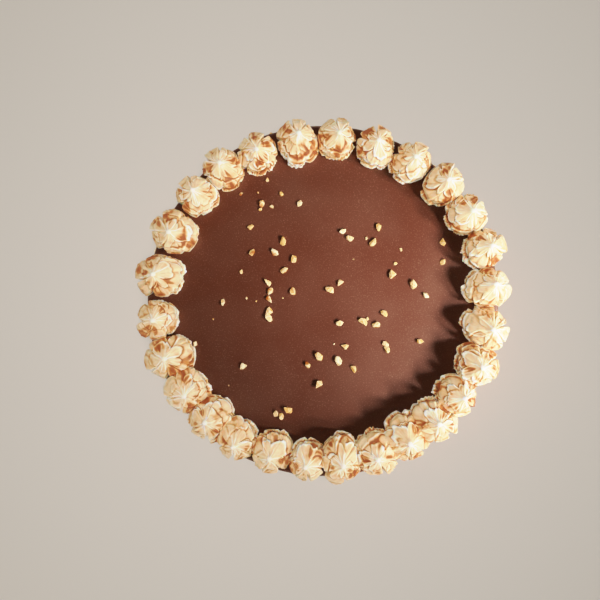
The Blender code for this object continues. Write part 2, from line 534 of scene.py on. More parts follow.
@dataclass
class GlazedCake:
    """The cake: a turned round with soft edges under an unevenly spread coat of glaze."""

    radius: float = 127 * MM
    height: float = 45 * MM
    top_edge: float = 3 * MM
    foot_edge: float = 1.5 * MM
    edge_steps: int = 7
    sides: int = 288
    ring_step: float = 2.2 * MM
    side_step: float = 1.3 * MM
    spatula_depth: float = 0.16 * MM
    spatula_strokes: Waves = Waves(9, 35, 120)
    coat_depth: float = 0.28 * MM
    coat_lumps: Waves = Waves(14, 120, 700)
    seam: float = 0.01 * MM
    seed: int = 11

    def arc(self, centre: tuple[float, float], radius: float, start: float) -> list[Vector]:
        """Steps along a quarter circle of the profile.

        Args:
            centre: Centre of the circle: distance from the middle line, and height.
            radius: Radius of the circle.
            start: Angle at which the quarter starts.

        Returns:
            Points in the XZ plane, from the lowest up.
        """
        points = []
        for step in range(self.edge_steps + 1):
            angle = start + step * math.pi / 2 / self.edge_steps
            across = centre[0] + radius * math.cos(angle)
            points.append(Vector((across, 0, centre[1] + radius * math.sin(angle))))
        return points

    def profile(self) -> list[Vector]:
        """Works out the outline that is spun: underside, foot, side, top edge and top.

        Returns:
            Points in the XZ plane, from the middle of the underside to the middle of the top.
        """
        foot_centre = (self.radius - self.foot_edge, self.foot_edge)
        foot = self.arc(foot_centre, self.foot_edge, -math.pi / 2)
        rim_centre = (self.radius - self.top_edge, self.height - self.top_edge)
        rim = self.arc(rim_centre, self.top_edge, 0)
        side_rows = round((self.height - self.top_edge - self.foot_edge) / self.side_step)
        side = [foot[-1].lerp(rim[0], row / side_rows) for row in range(1, side_rows)]
        rings = round((self.radius - self.top_edge) / self.ring_step)
        middle = Vector((0, 0, self.height))
        top = [rim[-1].lerp(middle, ring / rings) for ring in range(1, rings + 1)]
        return [Vector((0, 0, 0)), *foot, *side, *rim, *top]

    def uneven(self, mesh: bpy.types.Mesh) -> None:
        """Moves the vertices as a spatula leaves the glaze, and keeps the underside flat.

        Args:
            mesh: The cake's mesh.
        """
        dice = random.Random(self.seed)
        points = vertex_places(mesh)
        x, y, z = points.T
        away = np.hypot(x, y)
        bearing = np.arctan2(y, x)
        strokes = self.spatula_strokes.lay(dice, x, y)
        lifted = smooth_step(self.height - 2 * self.top_edge, self.height, z)
        points[:, 2] += self.spatula_depth * strokes * lifted
        lumps = self.coat_lumps.lay(dice, bearing * self.radius, z)
        on_side = smooth_step(self.radius - self.top_edge, self.radius, away)
        on_side *= smooth_step(0, 2 * self.foot_edge, z) * (1 - lifted)
        push = self.coat_depth * lumps * on_side / np.maximum(away, MM)
        points[:, 0] += x * push
        points[:, 1] += y * push
        mesh.vertices.foreach_set("co", points.astype(np.float32).ravel())

    def build(self, glaze: bpy.types.Material) -> bpy.types.Object:
        """Builds the cake and dresses it.

        Args:
            glaze: Finish of the whole surface.

        Returns:
            The finished piece.
        """
        bm = bmesh.new()
        points = [bm.verts.new(point) for point in self.profile()]
        edges = [bm.edges.new(pair) for pair in zip(points, points[1:])]
        bmesh.ops.spin(
            bm,
            geom=points + edges,
            cent=(0, 0, 0),
            axis=(0, 0, 1),
            angle=math.tau,
            steps=self.sides,
            use_merge=True,
        )
        bmesh.ops.remove_doubles(bm, verts=bm.verts, dist=self.seam)
        bmesh.ops.recalc_face_normals(bm, faces=bm.faces)
        mesh = make_mesh("glazed_cake", bm)
        self.uneven(mesh)
        mesh.shade_smooth()
        return finish_piece(mesh, glaze, "chocolate_glaze", CAKE_NODE)


@dataclass(frozen=True)
class Tier:
    """One layer of cream that folds over the layer below, in petals round the rosette.

    With a negative flare and undercut it is the layer below that stands out, as a lip.
    """

    petals: int
    level: tuple[float, float]
    strength: tuple[float, float]
    bow: float
    flare: float
    flare_fade: float
    undercut: float
    undercut_fade: float
    crease_drop: float
    outer_share: float


@dataclass(frozen=True)
class Marbling:
    """How caramel cream and white cream lie in a rosette, in patches and streaks, with painted
    shade as dark lines in creases and grooves, painted highlights as white rims, foot lip and petal
    edges, and a white star at the tip that is white cream with a painted highlight.

    Rosettes that lie the strong way from the middle of the cake hold the most caramel, and each
    holds it mostly on two sides, the first and the second. Places across a lobe run from -1 to 1.
    """

    strong_way: float = math.radians(160)
    strong_share: float = 0.2
    overall_drift: float = 0.2
    first_way: float = math.radians(90)
    first_drift: float = math.radians(50)
    second_drift: float = math.radians(60)
    least: float = 0.1
    first: float = 1.15
    second: float = 0.75
    focus: float = 3.0
    lobe_shares: tuple[float, float] = (0.5, 1.3)
    levels: tuple[float, ...] = (0.5 * MM, 3.5 * MM, 14.5 * MM, 18 * MM)
    patch_places: tuple[float, float] = (-0.5, 0.5)
    patch_width: float = 0.6
    streak_bend: float = 0.25
    bend_pitch: float = 3 * MM
    streak_waves: Waves = Waves(6, 5, 14, 9 * MM)
    streak_base: float = 0.35
    streak_share: float = 0.8
    streak_limit: float = 1.2
    cloud_waves: Waves = Waves(7, 1.5, 4, 3.5 * MM)
    soft_share: float = 0.5
    sharp_share: float = 0.4
    sharp_edge: tuple[float, float] = (0.34, 0.4)
    # Painted shade: dark lines down the grooves and in the creases under petals, the crease lines
    # partly caramel; the inner side gets less.
    groove_shade_tone: float = 0.8
    line_width: float = 0.45 * MM
    groove_shade_levels: tuple[float, ...] = (2 * MM, 5 * MM, 12 * MM, 16 * MM)
    inner_fade: float = 0.85
    crease_shade_and_caramel_tone: float = 1.35
    crease_shade_and_caramel_shares: tuple[float, float] = (0.7, 0.6)
    # Painted highlights: white along the rims beside each groove and along the foot lip.
    rim_from_groove: float = 1.0 * MM
    rim_highlight_width: float = 0.45 * MM
    rim_highlight: float = 0.8
    foot_highlight_level: float = 2.4 * MM
    foot_highlight_width: float = 1.1 * MM
    foot_highlight: float = 0.75
    # The star at the tip is white cream with a painted highlight; its rays are painted highlights
    # along the ridges.
    star_levels: tuple[float, float] = (19.4 * MM, 20.2 * MM)
    rays: int = 8
    ray_ends_mm: tuple[float, float] = (13, 17)
    ray_fade: float = 2 * MM
    ray_width: float = 0.3 * MM
    ray_highlight: float = 0.9
    # How far white cream and painted highlights cover the caramel and the shade, and how far they
    # lift the tone.
    white_and_highlight_cover: float = 0.75
    white_and_highlight_tone: float = 0.5
    deepest: float = 1.3


@dataclass
class RosetteRing:
    """The ring of piped rosettes: where each stands and the form that the nozzle gives them."""

    bearings: tuple[float, ...] = (
        85.0, 71.1, 57.5, 44.2, 31.2, 18.1, 4.8, -9.4, -22.7,
        -35.2, -47.0, -58.4, -71.1, -83.5, -95.7, -108.9, -121.7, -134.1,
        -146.6, -159.9, -173.8, -188.5, -204.2, -219.9, -232.8, -245.9, -260.9,
    )  # fmt: skip
    ring_radius: float = 115.9 * MM
    ovality: float = 0.012
    off_centre: float = 1.3 * MM
    drift: float = 2 * MM
    ring_seed: int = 67000
    foot_height: float = 44.8 * MM
    cake_edge: float = 124 * MM
    lobes: int = 6
    columns_per_lobe: int = 32
    rows: int = 76
    underside_rows: int = 4
    height: float = 20.5 * MM
    stretch: float = 1.08
    seed: int = 7
    contact_lean: float = math.tan(math.radians(20))
    contact_height: float = 6 * MM
    least_reach: float = 0.05 * MM
    pressed_in: float = 1.0 * MM
    press_softness: float = 0.6 * MM
    press_least_slope: float = 0.05
    press_middle: float = 2 * MM
    sizes: tuple[float, float] = (0.97, 1.04)
    smaller_at_top: float = 0.045
    twists: tuple[float, float] = (math.radians(2), math.radians(16))
    twist_start: float = 6 * MM
    leans_outwards: tuple[float, float] = (-1.6 * MM, 0.6 * MM)
    leans_sideways: tuple[float, float] = (-1.4 * MM, 1.4 * MM)
    lobe_reaches: tuple[float, float] = (0.9, 1.08)
    groove_drifts: tuple[float, float] = (math.radians(-8), math.radians(8))
    groove_shares: tuple[float, float] = (0.95, 1.5)
    inner_fill: float = 0.65
    groove_mouths: tuple[float, float] = (0.22, 0.42)
    high_mouth: float = 0.2
    covered: float = 0.5
    hollows: tuple[float, float] = (0.05, 0.18)
    slips: tuple[float, float] = (math.radians(-18), math.radians(18))
    teeth: tuple[float, ...] = (0.05 * MM, 0.1 * MM, 0.2 * MM, 0.35 * MM)
    teeth_waves: Waves = Waves(8, 24, 60, 10.25 * MM)
    rim_levels: tuple[float, ...] = (0.0, 1.2 * MM, 4 * MM, 9 * MM)
    crumple: float = 0.22 * MM
    crumple_waves: Waves = Waves(9, 3.0, 8.0, 3.2 * MM)
    wobble: float = 0.015
    wobble_waves: Waves = Waves(5, 1.2, 3.0, 8 * MM)
    smooth_middle: tuple[float, float] = (1 * MM, 6 * MM)
    sway: float = 0.06
    sway_waves: Waves = Waves(4, 1, 2.5, 7 * MM)
    sway_reach: float = 6 * MM
    slip_levels: tuple[float, float] = (3 * MM, 5 * MM)
    lobe_blend: float = 0.5
    lobe_blend_power: int = 5
    covered_levels: tuple[float, ...] = (4 * MM, 8 * MM, 14 * MM, 17 * MM)
    mouth_levels: tuple[float, float] = (5 * MM, 12 * MM)
    lobe_end: tuple[float, float] = (18.2 * MM, 20.2 * MM)
    lobe_slant: float = 0.05
    hollow_width: float = 0.8
    hollow_inner_fill: float = 0.6
    vein_places: tuple[float, float] = (-0.35, 0.35)
    vein_heights: tuple[float, float] = (0.0, 0.1)
    vein_width: float = 0.12
    crowns: tuple[float, float] = (-0.09, 0.04)
    petal_drift: float = 0.22
    petal_skew: float = 0.4
    raggedness: float = 0.3 * MM
    ragged_waves: Waves = Waves(5, 5, 16)
    # Widths of the painted shade in the crease under a petal and of the painted highlight along its
    # edge.
    crease_shade_width: float = 0.6 * MM
    edge_width: float = 0.5 * MM
    ply: float = 0.9 * MM
    ply_waves: Waves = Waves(5, 1.2, 2.6, 4.5 * MM)
    ply_levels: tuple[float, ...] = (2 * MM, 4.5 * MM, 14 * MM, 17.5 * MM)
    ply_line: float = 0.11
    ply_outer_share: float = 0.45
    # Strength of the painted shade and the painted highlight along the ply's wandering edge.
    ply_shade_and_highlight: tuple[float, float] = (0.8, 0.7)
    tip_bend: float = 1.2 * MM
    bend_start: float = 0.8
    slump: float = 2.2 * MM
    slump_reach: float = 6 * MM
    slump_height: float = 4 * MM
    marbling: Marbling = Marbling()
    tiers: tuple[Tier, ...] = (
        Tier(
            petals=5,
            level=(10.0 * MM, 14.0 * MM),
            strength=(0.2, 1.0),
            bow=2.8 * MM,
            flare=1.6 * MM,
            flare_fade=2.4 * MM,
            undercut=1.2 * MM,
            undercut_fade=1.8 * MM,
            crease_drop=0.6 * MM,
            outer_share=0.5,
        ),
        Tier(
            petals=6,
            level=(5.5 * MM, 8.5 * MM),
            strength=(0.0, 1.0),
            bow=2.0 * MM,
            flare=1.3 * MM,
            flare_fade=2.0 * MM,
            undercut=0.7 * MM,
            undercut_fade=1.4 * MM,
            crease_drop=0.6 * MM,
            outer_share=0.35,
        ),
        Tier(
            petals=4,
            level=(2.4 * MM, 4.4 * MM),
            strength=(0.4, 1.0),
            bow=0.6 * MM,
            flare=-1.9 * MM,
            flare_fade=3.6 * MM,
            undercut=-0.35 * MM,
            undercut_fade=20 * MM,
            crease_drop=-0.5 * MM,
            outer_share=0.3,
        ),
    )
    profile_mm: tuple[tuple[float, float], ...] = (
        (0, 20.5), (1.1, 20.2), (2.0, 19.3), (3.0, 18.2), (4.6, 17.0), (7.0, 15.4),
        (9.4, 13.6), (11.6, 11.7), (13.4, 9.6), (14.7, 7.4), (15.3, 5.4), (15.4, 3.6),
        (15.3, 2.2), (15.0, 1.2), (14.2, 0.4), (12.6, 0.0), (6.0, 0.0), (0, 0),
    )  # fmt: skip
    groove_mm: tuple[tuple[float, float], ...] = (
        (0, 0.26), (1.6, 0.30), (5.4, 0.32), (9.8, 0.31), (13.9, 0.27), (17.6, 0.22), (20.5, 0.05),
    )  # fmt: skip

    def stands(self) -> list[Vector]:
        """Works out where each rosette's foot is centred.

        Returns:
            Points in the plane of the cake's top.
        """
        dice = random.Random(self.ring_seed)
        places = []
        for degrees in self.bearings:
            bearing = math.radians(degrees)
            away = self.ring_radius * (1 + self.ovality * math.cos(2 * bearing))
            away += self.off_centre * math.sin(bearing) + self.drift * dice.uniform(-1, 1)
            places.append(Vector((away * math.cos(bearing), away * math.sin(bearing))))
        return places

    def blank(self) -> bpy.types.Mesh:
        """Makes the blank that every rosette is shaped from.

        Returns:
            A ball with a column of faces for each part of a lobe and a map that follows them.
        """
        bm = bmesh.new()
        bm.loops.layers.uv.new(FLOW_MAP)
        bmesh.ops.create_uvsphere(
            bm,
            u_segments=self.lobes * self.columns_per_lobe,
            v_segments=self.rows,
            radius=1,
            calc_uvs=True,
        )
        mesh = make_mesh("rosette_blank", bm)
        mesh.shade_smooth()
        return mesh

    def grid(self, mesh: bpy.types.Mesh) -> tuple[np.ndarray, np.ndarray]:
        """Finds the row and the column of each vertex of the blank.

        Args:
            mesh: The blank.

        Returns:
            Rows from the tip down, and columns round from the first groove.
        """
        x, y, z = vertex_places(mesh).T
        columns = self.lobes * self.columns_per_lobe
        row = np.rint(np.arccos(np.clip(z, -1, 1)) / math.pi * self.rows).astype(int)
        column = np.rint(np.arctan2(y, x) / math.tau * columns).astype(int) % columns
        return row, column

    def flank(self) -> tuple[np.ndarray, np.ndarray]:
        """Spreads the rows evenly along the profile.

        Returns:
            Radius and height of each row, from the tip to the middle of the foot.
        """
        points = np.array(self.profile_mm) * MM
        along = np.concatenate([[0], np.cumsum(np.hypot(*np.diff(points, axis=0).T))])
        foot = along[-3]
        above = np.linspace(0, foot, self.rows - self.underside_rows + 1)
        below = np.linspace(foot, along[-1], self.underside_rows + 1)[1:]
        places = np.concatenate([above, below])
        return np.interp(places, along, points[:, 0]), np.interp(places, along, points[:, 1])

    def contact(self, index: int, other: int) -> tuple[Vector, float]:
        """Finds the face that a rosette shares with a neighbour.

        Args:
            index: Number of the rosette.
            other: Number of its neighbour, counted on round the ring.

        Returns:
            Way to the neighbour in the rosette's own frame, and the room on the way.
        """
        places = self.stands()
        apart = places[other % len(places)] - places[index]
        way = Matrix.Rotation(-math.radians(self.bearings[index]), 2) @ apart.normalized()
        return way, apart.length / 2 + self.pressed_in

    def build(self, cream: bpy.types.Material) -> list[bpy.types.Object]:
        """Builds every rosette of the ring and dresses it.

        Args:
            cream: Finish of the rosettes.

        Returns:
            The finished pieces, clockwise from the top of the view.
        """
        blank = self.blank()
        grid = self.grid(blank)
        made = []
        for index in range(len(self.bearings)):
            mesh = blank.copy()
            mesh.name = f"cream_rosette_{index + 1:02d}"
            Rosette(self, index).shape(mesh, *grid)
            made.append(finish_piece(mesh, cream, "whipped_cream", f"rosette_{index + 1:02d}"))
        bpy.data.meshes.remove(blank)
        return made


@dataclass
class Rosette:
    """One rosette of the ring, with the draws that make it unlike its neighbours."""

    ring: RosetteRing
    index: int
    dice: random.Random = field(init=False)
    bearing: float = field(init=False)
    size: float = field(init=False)
    turn: float = field(init=False)
    twist: float = field(init=False)
    lean: tuple[float, float] = field(init=False)
    lobe_reach: np.ndarray = field(init=False)
    grooves: np.ndarray = field(init=False)
    inwards: np.ndarray = field(init=False)
    groove_share: np.ndarray = field(init=False)

    def __post_init__(self) -> None:
        """Draws the rosette's form in the same order as the frame's solids do."""
        ring = self.ring
        self.dice = random.Random(ring.seed * 1000 + self.index)
        self.bearing = math.radians(ring.bearings[self.index])
        self.size = self.dice.uniform(*ring.sizes)
        self.size *= 1 - ring.smaller_at_top * math.sin(self.bearing)
        self.turn = self.dice.uniform(0, math.tau / ring.lobes)
        self.twist = self.dice.uniform(*ring.twists)
        leans = ring.leans_outwards, ring.leans_sideways
        self.lean = tuple(self.dice.uniform(*lean) for lean in leans)
        self.lobe_reach = self.draws(ring.lobes, *ring.lobe_reaches)
        even = np.arange(ring.lobes) * math.tau / ring.lobes
        self.grooves = even + self.draws(ring.lobes, *ring.groove_drifts)
        self.inwards = inwards_share(self.turn + even)
        self.groove_share = self.draws(ring.lobes, *ring.groove_shares)
        self.groove_share *= 1 - ring.inner_fill * self.inwards

    def draws(self, count: int, low: float, high: float) -> np.ndarray:
        """Draws a number for each lobe or petal."""
        return np.array([self.dice.uniform(low, high) for _ in range(count)])

    def uneven(self, waves: Waves, across: np.ndarray, up: np.ndarray) -> np.ndarray:
        """Draws an uneven pattern over the rosette's surface or its colour."""
        return waves.lay(self.dice, across, up)

    @staticmethod
    def petal(starts: np.ndarray, angle: np.ndarray) -> tuple[np.ndarray, np.ndarray]:
        """Finds the petal that each vertex is on.

        Args:
            starts: Bearing at which each petal starts, rising over less than a turn.
            angle: Bearing of each vertex.

        Returns:
            Number of the petal, and place across it, from -1 to 1.
        """
        edges = np.append(starts, starts[0] + math.tau)
        bearing = starts[0] + (angle - starts[0]) % math.tau
        number = np.clip(np.searchsorted(edges, bearing, side="right") - 1, 0, len(starts) - 1)
        return number, 2 * (bearing - edges[number]) / (edges[number + 1] - edges[number]) - 1

    def fold(self, tier: Tier, angle: np.ndarray, height: np.ndarray) -> np.ndarray:
        """Lays one layer of cream over the next, as it leaves the nozzle in pulses.

        Args:
            tier: The layer.
            angle: Bearing of each vertex in the rosette's own frame.
            height: Height above the foot.

        Returns:
            Three rows: how far each vertex moves out, how deep it lies in the crease under a
            petal, and how near it is to the petal's edge; the last two become painted shade and
            painted highlight.
        """
        ring = self.ring
        wide = math.tau / tier.petals
        drift = self.draws(tier.petals, -ring.petal_drift, ring.petal_drift)
        starts = self.turn + (np.arange(tier.petals) + drift) * wide
        number, across = self.petal(starts, angle)
        strength = self.draws(tier.petals, *tier.strength)
        strength *= tier.outer_share + (1 - tier.outer_share) * inwards_share(starts + wide / 2)
        strength = strength[number]
        level = self.draws(tier.petals, *tier.level)[number]
        peak = self.draws(tier.petals, -ring.petal_skew, ring.petal_skew)[number]
        ragged = ring.raggedness * self.uneven(ring.ragged_waves, angle, 0 * height)
        over = height - level - tier.bow * (across - peak) ** 2 + ragged
        flare = tier.flare * np.exp(-np.maximum(over, 0) / tier.flare_fade)
        undercut = -tier.undercut * np.exp(np.minimum(over, 0) / tier.undercut_fade)
        push = np.where(over > 0, flare, undercut)
        # The crease becomes painted shade and the edge a painted highlight in the marbling.
        crease = ridge(over + tier.crease_drop, ring.crease_shade_width)
        edge = ridge(over - tier.crease_drop, ring.edge_width)
        return strength * np.stack([push, crease, edge])

    def ply(self, angle: np.ndarray, height: np.ndarray) -> np.ndarray:
        """Lays a loose layer over the flank, whose edge wanders up and down and closes on itself.

        Args:
            angle: Bearing of each vertex in the rosette's own frame.
            height: Height above the foot.

        Returns:
            Three rows, as fold gives them.
        """
        ring = self.ring
        line = ring.ply_line
        lie = self.uneven(ring.ply_waves, angle, height)
        outer = ring.ply_outer_share
        flank = between(ring.ply_levels, height) * (outer + (1 - outer) * inwards_share(angle))
        push = ring.ply * (smooth_step(-line, line, lie) - 0.5)
        # Painted shade and painted highlight along the ply's edge.
        crease = ring.ply_shade_and_highlight[0] * ridge(lie + line, line)
        edge = ring.ply_shade_and_highlight[1] * ridge(lie - line, line)
        return flank * np.stack([push, crease, edge])

    def lobed(self, lobe: np.ndarray, across: np.ndarray, height: np.ndarray) -> np.ndarray:
        """Works out how far the lobes and the grooves between them reach.

        Args:
            lobe: Number of the lobe that each vertex is on.
            across: Place across the lobe, from -1 to 1.
            height: Height above the foot.

        Returns:
            Reach of each vertex, as a share of the rosette's own radius at that height.
        """
        ring = self.ring
        lobes = ring.lobes
        after = (lobe + 1) % lobes
        beside = np.where(across > 0, after, (lobe - 1) % lobes)
        groove = np.where(across > 0, after, lobe)
        blend = ring.lobe_blend * np.abs(across) ** ring.lobe_blend_power
        reach = self.lobe_reach[lobe] * (1 - blend) + self.lobe_reach[beside] * blend

        groove_heights, groove_depths = np.array(ring.groove_mm).T
        depth = np.interp(height, groove_heights * MM, groove_depths) * self.groove_share[groove]
        flank = between(ring.covered_levels, height)
        depth *= 1 - ring.covered * flank * self.inwards[groove]
        high = smooth_step(*ring.mouth_levels, height)
        mouth = self.draws(lobes, *ring.groove_mouths)[groove] * (1 - high) + ring.high_mouth * high
        notch = np.clip((np.abs(across) - 1 + mouth) / mouth, 0, 1)

        body = high * (1 - smooth_step(*ring.lobe_end, height))
        slant = ring.lobe_slant * self.draws(lobes, -1, 1)[lobe] * across * np.abs(across)
        dip = (1 - (across / ring.hollow_width) ** 2).clip(0)
        hollow = self.draws(lobes, *ring.hollows)[lobe] * dip
        hollow *= 1 - ring.hollow_inner_fill * self.inwards[lobe]
        vein_side = self.draws(lobes, *ring.vein_places)[lobe]
        vein = self.draws(lobes, *ring.vein_heights)[lobe]
        vein *= ridge(across - vein_side, ring.vein_width)
        crown = self.draws(lobes, *ring.crowns)[lobe] * (1 - across**2) * (1 - high)
        return reach * (1 - depth * notch + crown + (slant + vein - hollow) * body)

    def shape(self, mesh: bpy.types.Mesh, row: np.ndarray, column: np.ndarray) -> None:
        """Shapes a copy of the blank into this rosette, in its place on the cake.

        Args:
            mesh: The copy of the blank.
            row: Row of each vertex, from the tip down.
            column: Column of each vertex, round from the first groove.
        """
        ring = self.ring
        radii, heights = ring.flank()
        radius = radii[row]
        height = heights[row]
        rise = height / ring.height
        columns = ring.lobes * ring.columns_per_lobe
        along = self.grooves[0] + column * math.tau / columns
        turned = np.maximum(0, height - ring.twist_start) / (ring.height - ring.twist_start)
        angle = self.turn + along + self.twist * turned

        slip = self.dice.uniform(*ring.slips) * inwards_share(angle)
        slip *= 1 - smooth_step(*ring.slip_levels, height)
        sway = ring.sway * self.uneven(ring.sway_waves, angle, height)
        sway *= smooth_step(0, ring.sway_reach, radius)
        lobe, across = self.petal(self.grooves, along + slip + sway)
        share = self.lobed(lobe, across, height)

        folds = sum(self.fold(tier, angle, height) for tier in ring.tiers)
        folds = folds + self.ply(angle, height)
        crumple = ring.crumple * self.uneven(ring.crumple_waves, angle, height)
        wobble = ring.wobble * self.uneven(ring.wobble_waves, angle, height)
        teeth = self.uneven(ring.teeth_waves, angle, height)
        teeth *= np.array([self.dice.choice(ring.teeth) for _ in range(ring.lobes)])[lobe]
        teeth *= between(ring.rim_levels, height)
        out = radius * share * self.size * (1 + wobble)
        out += smooth_step(*ring.smooth_middle, radius) * (folds[0] + teeth + crumple)
        out = np.where(radius > 0, np.maximum(out, ring.least_reach), 0)

        curl = self.dice.uniform(0, math.tau)
        bent = np.clip((rise - ring.bend_start) / (1 - ring.bend_start), 0, 1)
        bend = ring.tip_bend * bent**2
        axis_x = self.lean[0] * rise**2 + bend * math.cos(curl)
        axis_y = self.lean[1] * rise**2 + bend * math.sin(curl)
        out = self.pressed(out, radius, height, angle, (axis_x, axis_y))
        x = axis_x + ring.stretch * np.cos(angle) * out
        y = axis_y + np.sin(angle) * out
        z = height * (1 + (self.size - 1) * rise**2)

        stand = ring.stands()[self.index]
        world_x = stand.x + x * math.cos(self.bearing) - y * math.sin(self.bearing)
        world_y = stand.y + x * math.sin(self.bearing) + y * math.cos(self.bearing)
        over_edge = np.clip(np.hypot(world_x, world_y) - ring.cake_edge, 0, ring.slump_reach)
        slump = np.minimum(over_edge**2 / ring.slump_reach, ring.slump)
        slump *= np.exp(-height / ring.slump_height)
        world_z = ring.foot_height + z - slump
        points = np.stack([world_x, world_y, world_z], axis=1).astype(np.float32)
        mesh.vertices.foreach_set("co", points.ravel())
        mesh.update()
        self.marble(mesh, lobe, across, radius, height, angle, folds)

    def pressed(
        self,
        out: np.ndarray,
        radius: np.ndarray,
        height: np.ndarray,
        angle: np.ndarray,
        axis: tuple[np.ndarray, np.ndarray],
    ) -> np.ndarray:
        """Presses the rosette flat where it meets its two neighbours.

        Args:
            out: How far out each vertex lies.
            radius: Radius of the profile at each vertex.
            height: Height above the foot.
            angle: Bearing in the rosette's own frame.
            axis: Where the rosette's middle line runs at that height.

        Returns:
            How far out each vertex lies after the press.
        """
        ring = self.ring
        soft = ring.press_softness
        least = ring.press_least_slope
        for other, lean in ((-1, -ring.contact_lean), (1, ring.contact_lean)):
            way, room = ring.contact(self.index, self.index + other)
            towards = ring.stretch * np.cos(angle) * way.x + np.sin(angle) * way.y
            free = room + lean * (height - ring.contact_height) - axis[0] * way.x - axis[1] * way.y
            limit = np.where(towards > least, free / np.maximum(towards, least), 1.0)
            held = -soft * np.logaddexp(-out / soft, -limit / soft)
            out = np.where(radius > ring.press_middle, held, out)
        return out

    def marble(
        self,
        mesh: bpy.types.Mesh,
        lobe: np.ndarray,
        across: np.ndarray,
        radius: np.ndarray,
        height: np.ndarray,
        angle: np.ndarray,
        folds: np.ndarray,
    ) -> None:
        """Marbles the rosette: caramel on some lobes, painted shade in creases and grooves, and
        white cream and painted highlights at edges, rims, foot and tip.

        Args:
            mesh: The shaped mesh, which takes the attribute.
            lobe: Number of the lobe that each vertex is on.
            across: Place across the lobe, from -1 to 1.
            radius: Radius of the profile at each vertex.
            height: Height above the foot.
            angle: Bearing in the rosette's own frame.
            folds: Push, crease and edge of each vertex, as fold gives them.
        """
        look = self.ring.marbling
        lobes = self.ring.lobes
        strength = self.caramel_share(lobes)[lobe]
        patch = ridge(across - self.draws(lobes, *look.patch_places)[lobe], look.patch_width)
        bends = across + look.streak_bend * np.sin(height / look.bend_pitch + lobe)
        streaks = 0.5 + 0.5 * self.uneven(look.streak_waves, bends, height)
        streaks = look.streak_base + look.streak_share * np.clip(streaks, 0, look.streak_limit)
        cloud = 1 + 0.5 * self.uneven(look.cloud_waves, angle, height)
        caramel = between(look.levels, height) * patch * strength * streaks * cloud
        sharp = smooth_step(*look.sharp_edge, caramel)
        caramel = look.soft_share * caramel + look.sharp_share * sharp

        # Painted shade: darker lines in the creases under petals and down the grooves, partly
        # caramel that gathers in the creases.
        _, crease, edge = folds
        outer = 1 - look.inner_fade * inwards_share(angle)
        from_groove = (1 - np.abs(across)) * radius * math.pi / lobes
        line = ridge(from_groove, look.line_width) * between(look.groove_shade_levels, height) * outer
        least, more = look.crease_shade_and_caramel_shares
        caramel += look.crease_shade_and_caramel_tone * crease * (least + more * strength) + look.groove_shade_tone * line

        # Painted highlights: white along the groove rims, the foot lip and the petal edges; the
        # star is white cream with a painted highlight.
        sides = self.draws(lobes, 0, 1)[lobe], self.draws(lobes, 0, 1)[lobe]
        rim = np.where(across > 0, *sides) * outer
        rim *= ridge(from_groove - look.rim_from_groove, look.rim_highlight_width)
        foot = ridge(height - look.foot_highlight_level, look.foot_highlight_width)
        star = self.star(radius, height, angle)
        whites = [star, look.rim_highlight * rim, look.foot_highlight * foot, edge]
        white = np.clip(np.maximum.reduce(whites), 0, 1)
        tone = np.clip(caramel * (1 - look.white_and_highlight_cover * white), 0, look.deepest)
        tone -= look.white_and_highlight_tone * white
        mark(mesh, CARAMEL_SHADE_AND_HIGHLIGHT, tone)

    def caramel_share(self, lobes: int) -> np.ndarray:
        """Draws how much caramel each lobe holds.

        Args:
            lobes: Number of lobes.

        Returns:
            A share for each lobe, high on two sides of the rosette.
        """
        look = self.ring.marbling
        overall = 1 + look.strong_share * math.cos(self.bearing - look.strong_way)
        overall += self.dice.uniform(-look.overall_drift, look.overall_drift)
        first = look.first_way + self.dice.uniform(-look.first_drift, look.first_drift)
        second = first + math.pi + self.dice.uniform(-look.second_drift, look.second_drift)
        middles = self.turn + (np.arange(lobes) + 0.5) * math.tau / lobes
        share = np.full(lobes, look.least)
        for way, most in ((first, look.first), (second, look.second)):
            share += most * np.exp(look.focus * (np.cos(middles - way) - 1))
        return share * self.draws(lobes, *look.lobe_shares) * overall

    def star(self, radius: np.ndarray, height: np.ndarray, angle: np.ndarray) -> np.ndarray:
        """Draws the white star at the tip, white cream with a painted highlight, and thin rays of
        painted highlight that run down from it.

        Args:
            radius: Radius of the profile at each vertex.
            height: Height above the foot.
            angle: Bearing in the rosette's own frame.

        Returns:
            How white each vertex is, from 0 to 1.
        """
        look = self.ring.marbling
        star = smooth_step(*look.star_levels, height)
        for _ in range(look.rays):
            aside = (angle - self.dice.uniform(0, math.tau) + math.pi) % math.tau - math.pi
            end = self.dice.uniform(*look.ray_ends_mm) * MM
            ray = ridge(aside * radius, look.ray_width)
            ray *= smooth_step(end, end + look.ray_fade, height)
            star = np.maximum(star, look.ray_highlight * ray)
        return star


class NutPlace(enum.Enum):
    """Where chopped nuts lie."""

    TOP = "top_nuts"
    SIDE = "side_nuts"


